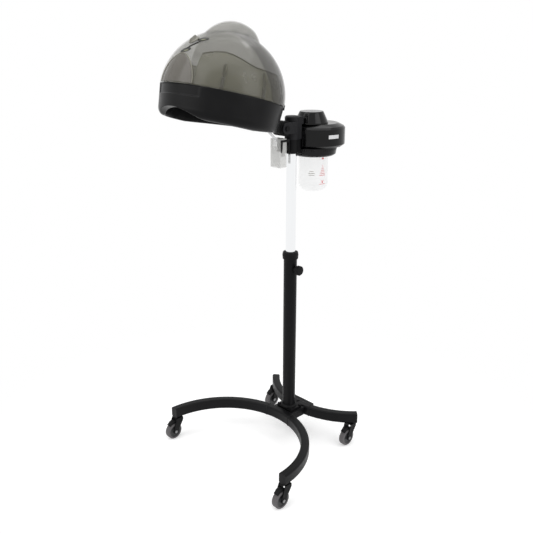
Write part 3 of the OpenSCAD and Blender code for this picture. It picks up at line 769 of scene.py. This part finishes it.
def make_joint_lines():
    """Dark hairline where each bent arm is pushed on to the hub."""
    bend, arm_w, arm_h, hub_half = 0.232, 0.0245, 0.0315, 0.047
    front_centre, rear_centre = -0.267, 0.273
    low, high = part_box("arm_front_right")
    mast = Vector(JOINTS["lock_turn"]["pos_m"])  # the lock's axis crosses the mast's centre line
    mid_z = (low.z + high.z) / 2
    for front in (True, False):
        centre_y = mast.y + (front_centre if front else rear_centre)
        for side in (-1, 1):
            turn = math.asin(hub_half / bend)
            across = Vector((side * math.sin(turn), math.cos(turn) * (1 if front else -1), 0))
            middle = Vector((0, centre_y, mid_z)) + across * bend
            loop = []
            for k in range(40):
                t = 2 * math.pi * k / 40
                u = math.copysign(abs(math.cos(t)) ** 0.32, math.cos(t)) * arm_w / 2
                v = math.copysign(abs(math.sin(t)) ** 0.32, math.sin(t)) * arm_h / 2
                loop.append(middle + across * u + Vector((0, 0, v)))
            name = f"arm_joint_{'front' if front else 'rear'}_{'left' if side < 0 else 'right'}"
            place(swept(name, loop, 0.0009, 6, closed=True), "stand", M["gap"])


# ---------- finishes, and what wears them ----------

def make_materials():
    M["steel"] = surface("powder_coat", (0.0030, 0.0030, 0.0034), (0.0060, 0.0060, 0.0068), 140,
                         (0.34, 0.46), 0.22, 1500, spec=0.13)
    M["gloss"] = surface("gloss_black", (0.0026, 0.0026, 0.0030), (0.0046, 0.0046, 0.0050), 50,
                         (0.12, 0.20), 0.03, 500, coat=0.06, spec=0.22)
    M["collar"] = surface("satin_black", (0.0030, 0.0030, 0.0034), (0.0060, 0.0060, 0.0064), 40,
                          (0.28, 0.38), 0.05, 900, spec=0.15)
    # painted highlight: lighter than the collar, for the light line along the lip's lower edge
    M["edge"] = surface("painted_edge_highlight", (0.020, 0.020, 0.021), (0.034, 0.034, 0.035), 60,
                        (0.25, 0.35), 0.05, 900)
    M["matt"] = surface("matt_black", (0.0034, 0.0034, 0.0038), (0.0068, 0.0068, 0.0072), 90,
                        (0.45, 0.6), 0.3, 1800, spec=0.13)
    M["grey"] = surface("grey_plastic", (0.010, 0.010, 0.011), (0.017, 0.017, 0.019), 90,
                        (0.45, 0.58), 0.3, 1500, spec=0.16)
    M["gap"] = surface("shadow_gap", (0.002, 0.002, 0.002), (0.004, 0.004, 0.004), 50,
                       (0.8, 0.9), 0)
    M["smoke"] = surface("smoked_shell", (0.150, 0.144, 0.112), (0.172, 0.166, 0.130), 9,
                         (0.14, 0.20), 0.01, 300, alpha=0.30)
    M["visor"] = surface("smoked_panel", (0.160, 0.148, 0.128), (0.185, 0.170, 0.150), 12,
                         (0.14, 0.20), 0.01, 300, alpha=0.52)
    # painted highlight: lighter than the visor panel, for the bright line along its rim
    M["rim"] = surface("smoked_rim_highlight", (0.24, 0.23, 0.19), (0.29, 0.28, 0.23), 30,
                       (0.22, 0.3), 0.02, 300, alpha=0.7)
    M["liner"] = surface("smoked_liner", (0.21, 0.205, 0.15), (0.25, 0.245, 0.18), 14,
                         (0.25, 0.35), 0.02, 300, alpha=0.6)
    M["slot"] = surface("slot_shadow", (0.006, 0.006, 0.004), (0.011, 0.011, 0.008), 60,
                        (0.4, 0.5), 0.02, 300)
    M["olive"] = surface("olive_glint", (0.12, 0.12, 0.07), (0.16, 0.16, 0.10), 60,
                         (0.2, 0.3), 0.02, 300)
    M["rib"] = surface("liner_rib", (0.040, 0.040, 0.045), (0.060, 0.060, 0.066), 60,
                       (0.3, 0.4), 0.02, 300, alpha=0.85)
    M["clear"] = surface("clear_plastic", (0.93, 0.94, 0.95), (0.97, 0.98, 0.98), 20,
                         (0.04, 0.09), 0.01, 200, alpha=0.09)
    M["milky"] = surface("milky_plastic", (0.80, 0.80, 0.78), (0.88, 0.88, 0.86), 26,
                         (0.18, 0.3), 0.04, 400, alpha=0.34)
    M["tube"] = surface("clear_tube", (0.86, 0.87, 0.88), (0.94, 0.94, 0.95), 60,
                        (0.1, 0.18), 0.02, 400, alpha=0.7)
    M["chrome"] = surface("chrome_tube_metal", (0.86, 0.87, 0.88), (0.92, 0.93, 0.94), 40,
                          (0.04, 0.09), 0.02, 1200, metal=1.0, streak=(1, 1, 0.05))
    M["zinc"] = surface("zinc_steel", (0.60, 0.60, 0.61), (0.74, 0.74, 0.75), 200,
                        (0.2, 0.34), 0.1, 1500, metal=1.0)
    M["axle"] = surface("axle_steel", (0.16, 0.16, 0.165), (0.26, 0.26, 0.265), 200,
                        (0.28, 0.4), 0.1, 1500, metal=1.0)
    M["knob"] = surface("smoked_knob", (0.17, 0.165, 0.14), (0.21, 0.205, 0.175), 60,
                        (0.25, 0.35), 0.05, 600)
    M["alu"] = surface("cast_aluminium", (0.50, 0.50, 0.52), (0.62, 0.62, 0.64), 120,
                       (0.35, 0.5), 0.2, 900, metal=1.0)
    M["nylon"] = surface("white_nylon", (0.60, 0.60, 0.56), (0.70, 0.70, 0.66), 80,
                         (0.4, 0.55), 0.1)
    M["tyre"] = surface("tyre_rubber", (0.075, 0.070, 0.073), (0.105, 0.098, 0.102), 160,
                        (0.5, 0.68), 0.35, 1400)
    M["core"] = surface("wheel_core_plastic", (0.014, 0.014, 0.015), (0.022, 0.022, 0.024), 120,
                        (0.35, 0.5), 0.2, 1400)
    M["seal"] = surface("silicone", (0.55, 0.51, 0.45), (0.64, 0.60, 0.54), 60, (0.5, 0.6), 0.1)
    M["lamp"] = surface("red_lamp", (0.55, 0.02, 0.015), (0.70, 0.035, 0.02), 40,
                        (0.08, 0.14), 0.02, alpha=0.9)
    M["plate"] = surface("satin_plate", (0.62, 0.62, 0.63), (0.76, 0.76, 0.77), 300,
                         (0.25, 0.4), 0.1, 1500, metal=0.4, streak=(1, 1, 8))
    M["red"] = surface("print_red", (0.80, 0.03, 0.05), (0.90, 0.05, 0.07), 200, (0.4, 0.5), 0.05)
    M["pale_red"] = surface("print_pale_red", (0.90, 0.42, 0.42), (0.95, 0.50, 0.50), 200,
                            (0.4, 0.5), 0.05)
    M["print"] = surface("print_grey", (0.30, 0.28, 0.22), (0.42, 0.40, 0.33), 200,
                         (0.4, 0.5), 0.05)
    banded(M["smoke"], (0.075, 0.071, 0.060), 0.30, 0.50)


# CAD nodes that stay visible, by finish
PAINTED = {
    "steel": ("base_hub", "arm_front_left", "arm_front_right", "arm_rear_left", "arm_rear_right",
              "outer_column", "arm_end_caps"),
    "matt": ("stem_bushes", "column_foot_ring", "column_collar", "lock_knob", "mast_socket",
             "tilt_knob", "cup_holder", "power_switch", "power_inlet", "seam_clips", "hood_neck",
             "hub_bolts", "tilt_pin", "head_screws"),
    "gloss": ("head_lower_shell", "head_upper_shell", "top_cap", "bottle_ring"),
    "grey": ("head_sleeve",),
    "chrome": ("chrome_tube",),
    "nylon": ("guide_bush",),
    "zinc": ("lock_stud", "heater_ring", "steam_pipe"),
    "alu": ("boiler",),
    "seal": ("boiler_gasket",),
    "lamp": ("indicator_lens",),
    "plate": ("name_plate",),
    "milky": ("drip_cup",),
}


def dress_cad():
    """Finishes and softened edges for the CAD nodes."""
    for key, nodes in PAINTED.items():
        paint(M[key], *nodes)
    for c in CORNERS:
        for part, key, width in (("caster_fork_", "matt", 0.7), ("caster_axle_", "axle", 0.4),
                                 ("wheel_core_", "core", 0.5)):
            paint(M[key], part + c)
            soften(part + c, width * MM, 2)
        paint(M["tyre"], "tyre_" + c)
    for n in ("head_lower_shell", "head_upper_shell", "top_cap"):
        soften(n, 1.6 * MM, 3, 14)
    for n in ("base_hub", "hood_neck", "lock_knob", "tilt_knob", "cup_holder"):
        soften(n, 1.0 * MM)
    for n in ("column_foot_ring", "column_collar", "mast_socket", "head_sleeve", "power_switch",
              "power_inlet", "hub_bolts", "tilt_pin"):
        soften(n, 0.6 * MM, 2)
    soften("drip_cup", 0.5 * MM, 2)
    soften("arm_end_caps", 0.35 * MM, 2)


make_camera()
make_stage()
make_materials()
dress_cad()
make_dome()
make_visor()
make_vents()
make_liner()
make_collar()
make_bottle()
make_drain()
make_guards()
make_joint_lines()
